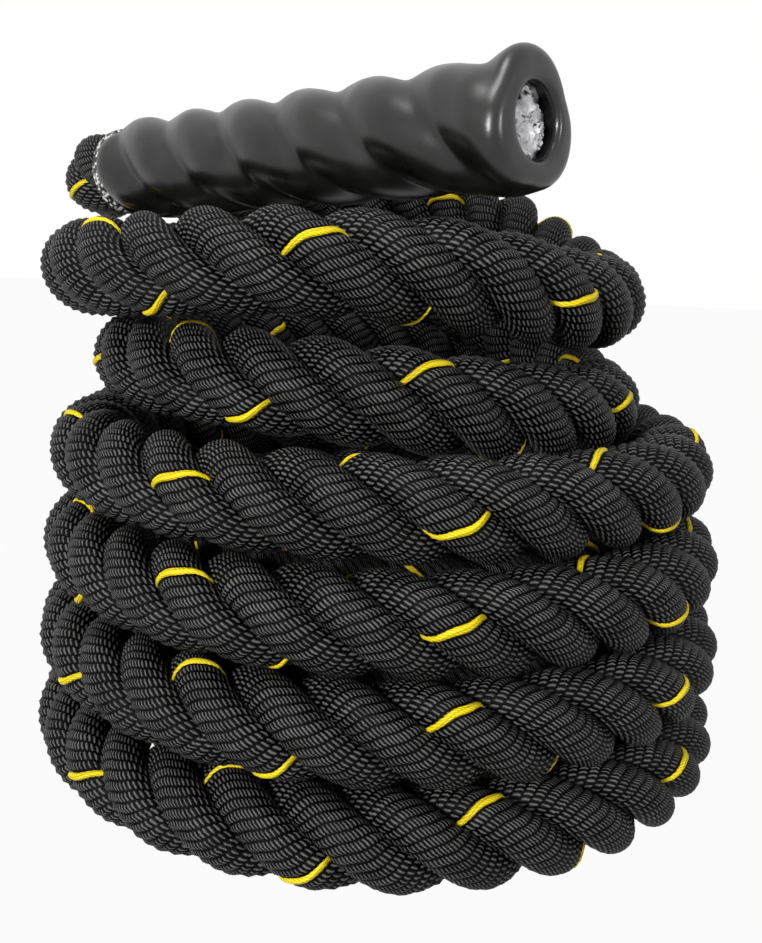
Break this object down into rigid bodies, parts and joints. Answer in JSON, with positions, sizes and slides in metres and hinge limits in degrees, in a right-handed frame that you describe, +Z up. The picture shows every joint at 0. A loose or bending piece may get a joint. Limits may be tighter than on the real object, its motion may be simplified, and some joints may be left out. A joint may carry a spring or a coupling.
{
  "type": "battle rope",
  "caption": "Thick laid battle rope in a round coil, with a shrink-sleeved grip at each end: one lies across the top, the other on the floor behind it.",
  "frame": {"origin": "middle of the box's underside, on the floor that the coil stands on", "axes": "+Z up, -Y towards the side that the top grip's open end points to, +X to the right seen from there"},
  "size_m": [0.4244, 0.4706, 0.3718],
  "materials": {
    "black_rope": "matte",
    "satin_sleeve": "satin",
    "end_tape": "gloss",
    "neck_tape": "matte"
  },
  "bodies": {
    "root": {"rope_coil": "black_rope", "rope_lead_top": "black_rope", "rope_lead_floor": "black_rope", "rope_core_top": "black_rope", "rope_core_floor": "black_rope", "grip_sleeve_top": "satin_sleeve", "grip_sleeve_floor": "satin_sleeve", "end_wrap_top": "end_tape", "end_wrap_floor": "end_tape", "neck_binding_top": "neck_tape", "neck_binding_floor": "neck_tape"}
  },
  "joints": []
}
